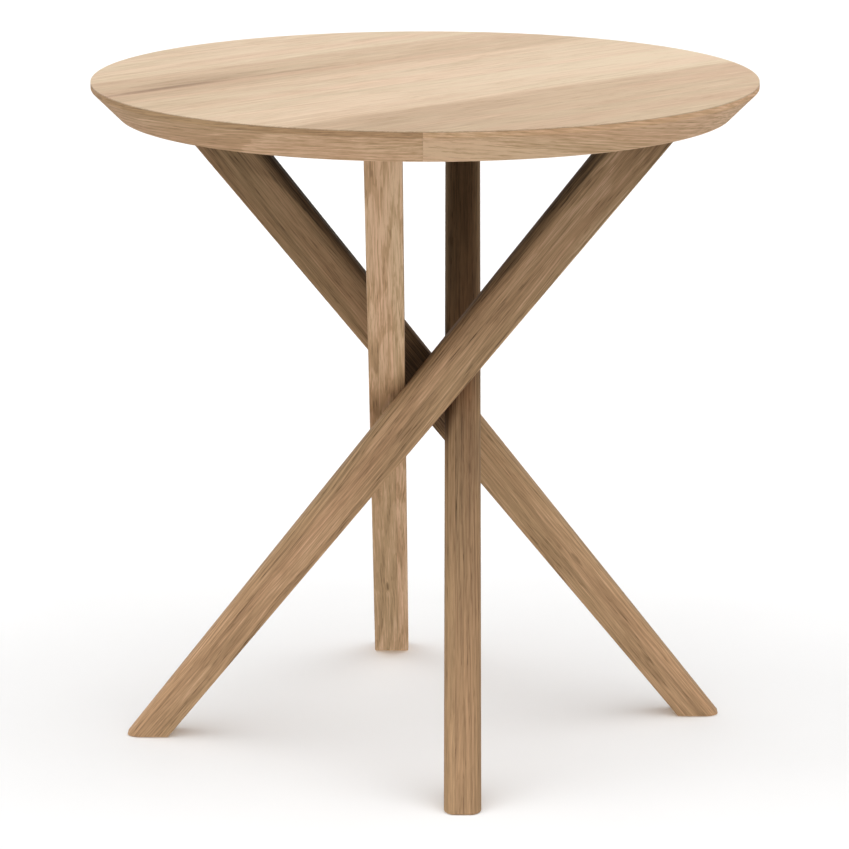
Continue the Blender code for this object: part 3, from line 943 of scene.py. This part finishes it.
def add_surroundings():
    """Soft light from all round, graded by height and from front to back."""
    world = bpy.data.worlds.new("studio")
    world.use_nodes = True
    nodes = world.node_tree.nodes
    links = world.node_tree.links

    def math_node(operation, first, second=0.0):
        node = nodes.new("ShaderNodeMath")
        node.operation = operation
        for socket, value in zip(node.inputs, (first, second)):
            if isinstance(value, float):
                socket.default_value = value
            else:
                links.new(value, socket)
        return node.outputs[0]

    def graded(height, stops):
        """The brightness at a height, straight from stop to stop."""
        brightest = max(brightness for _, brightness in stops)
        node = nodes.new("ShaderNodeFloatCurve")
        points = node.mapping.curves[0].points
        while len(points) < len(stops):
            points.new(0.5, 0.5)
        for point, (position, brightness) in zip(points, stops):
            point.location = (position, brightness / brightest)
            point.handle_type = "VECTOR"
        node.mapping.update()
        links.new(height, node.inputs["Value"])
        return math_node("MULTIPLY", node.outputs[0], brightest)

    split = nodes.new("ShaderNodeSeparateXYZ")
    links.new(nodes.new("ShaderNodeTexCoord").outputs["Generated"], split.inputs[0])
    x, y, z = split.outputs
    height = math_node("ADD", math_node("MULTIPLY", z, 0.5), 0.5)
    level = math_node("SQRT", math_node("ADD", math_node("MULTIPLY", x, x), math_node("MULTIPLY", y, y)))
    forward = math_node("DIVIDE", math_node("MULTIPLY", y, -1.0), math_node("MAXIMUM", level, 0.001))
    in_front = math_node("POWER", math_node("MAXIMUM", forward, 0.0), 2.0)
    behind = math_node("POWER", math_node("MAXIMUM", math_node("MULTIPLY", forward, -1.0), 0.0), 2.0)
    beside = math_node("SUBTRACT", math_node("SUBTRACT", 1.0, in_front), behind)
    light = math_node("MULTIPLY", graded(height, FRONT_LIGHT), in_front)
    light = math_node("ADD", light, math_node("MULTIPLY", graded(height, SIDE_LIGHT), beside))
    light = math_node("ADD", light, math_node("MULTIPLY", graded(height, BACK_LIGHT), behind))
    background = nodes["Background"]
    background.inputs["Color"].default_value = (1.0, 1.0, 1.0, 1.0)
    links.new(light, background.inputs["Strength"])
    bpy.context.scene.world = world


def add_backdrop():
    """A pale dome behind the floor. It is only seen, and lights nothing."""
    bm = bmesh.new()
    bmesh.ops.create_uvsphere(bm, u_segments=64, v_segments=32, radius=FLOOR_RADIUS)
    backdrop = link(mesh_from(bm, "backdrop"), "backdrop")
    tree = Tree("backdrop_paper")
    tree.set(Base_Color=(0.0, 0.0, 0.0, 1.0), Emission_Color=(1.0, 1.0, 1.0, 1.0))
    tree.set(Emission_Strength=BACKDROP_BRIGHTNESS, Roughness=1.0)
    backdrop.data.materials.append(tree.material)
    see_only(backdrop)


def add_camera():
    data = bpy.data.cameras.new("camera")
    data.lens = CAMERA_LENS
    data.sensor_width = CAMERA_SENSOR
    data.clip_end = 3 * FLOOR_RADIUS
    camera = bpy.data.objects.new("camera", data)
    camera.location = CAMERA_PLACE
    camera.rotation_euler = (math.pi / 2 - CAMERA_PITCH_DOWN, 0, CAMERA_TURN_LEFT)
    bpy.context.scene.collection.objects.link(camera)
    bpy.context.scene.camera = camera


# ---------------------------------------------------------------- the table


def build_table():
    finish_piece("table_face", face_mesh(), top_oak(), "top_oak", "top_face")
    finish_piece("table_core", core_mesh(), core_board(), "core_board", "top_core")
    rim = rim_mesh()
    for index, node in enumerate(RIM_NODES):
        material = rim_oak(SIDES[index], index)
        finish_piece(f"table_{node}", turned_copy(rim, index), material, "rim_oak", node)
    bar = leg_bar()
    grown_bar = leg_bar(grow=GAP)
    for index, side in enumerate(SIDES):
        mesh = leg_mesh(index, bar, grown_bar)
        finish_piece(f"oak_leg_{side}", mesh, leg_oak(side, index), "leg_oak", f"leg_{side}")
    dress_nodes("mounting_plate", powder_coat())
    zinc = plated_metal("screw_steel", (0.50, 0.48, 0.42), (0.66, 0.64, 0.58), 0.28, 0.45)
    dress_nodes("leg_screw", zinc)
    black_oxide = plated_metal("bolt_steel", (0.030, 0.030, 0.032), (0.060, 0.058, 0.056), 0.30, 0.48)
    dress_nodes("top_bolt", black_oxide)
    brass_plate = plated_metal("insert_metal", (0.48, 0.42, 0.30), (0.64, 0.58, 0.44), 0.30, 0.50)
    dress_nodes("threaded_insert", brass_plate)
    dress_nodes("crossing_dowel", dowel_beech())
    dress_nodes("foot_glide", glide_nylon())


build_table()
add_floor()
add_backdrop()
add_surroundings()
add_camera()
bpy.context.scene.view_settings.view_transform = "Standard"
